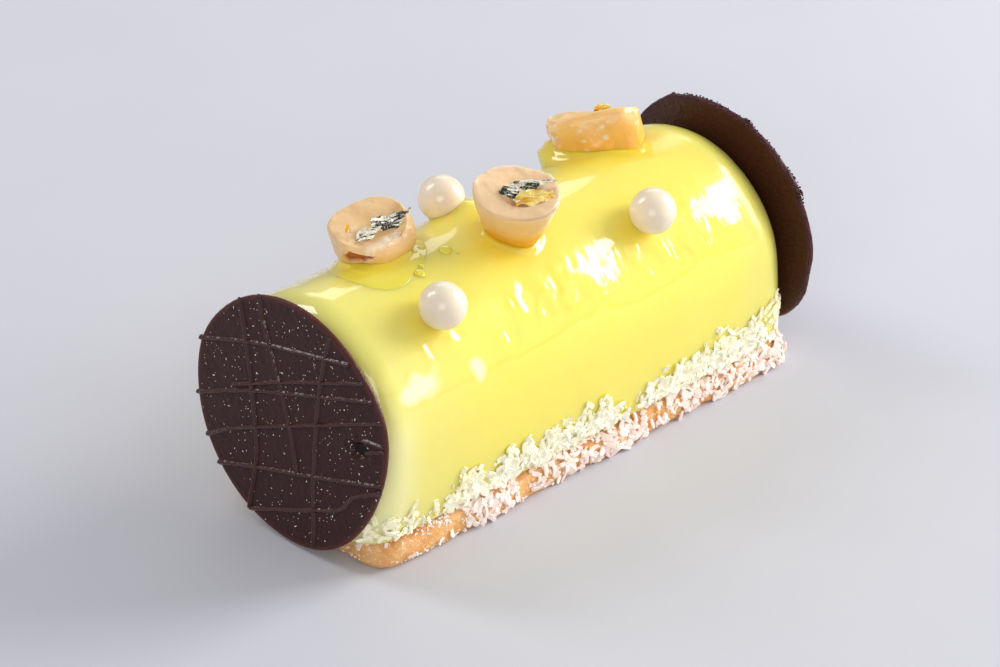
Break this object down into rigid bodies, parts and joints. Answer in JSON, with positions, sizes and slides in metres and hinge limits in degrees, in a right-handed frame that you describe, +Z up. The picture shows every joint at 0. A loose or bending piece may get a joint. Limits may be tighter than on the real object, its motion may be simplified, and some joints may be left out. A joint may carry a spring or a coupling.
{
  "type": "glazed yule log cake",
  "caption": "Individual yule log cake: glazed log on a shortbread base between chocolate discs, topped with nut halves, pearls and metal leaf.",
  "frame": {"origin": "under the middle of the whole cake, at the underside of the shortbread base", "axes": "+X along the log from the disc with the drizzled face towards the viewer to the far disc, -Y the front, +Z up"},
  "size_m": [0.1094, 0.0468, 0.0554],
  "materials": {
    "glaze": "glossy yellow mirror glaze with white coconut at the foot",
    "shortbread": "baked, grainy and matte",
    "chocolate": "dark chocolate, satin",
    "nut": "candied nut, waxy",
    "pearl": "cream chocolate, glossy",
    "silver": "crumpled silver leaf",
    "gold": "crumpled gold leaf"
  },
  "bodies": {
    "root": {"log": "glaze", "base": "shortbread", "disc_near": "chocolate", "disc_far": "chocolate", "nut_1": "nut", "nut_2": "nut", "nut_3": "nut", "pearl_1": "pearl", "pearl_2": "pearl", "pearl_3": "pearl", "silver_leaf_1": "silver", "silver_leaf_2": "silver", "gold_leaf_1": "gold", "gold_leaf_2": "gold", "gold_leaf_3": "gold"}
  },
  "joints": []
}
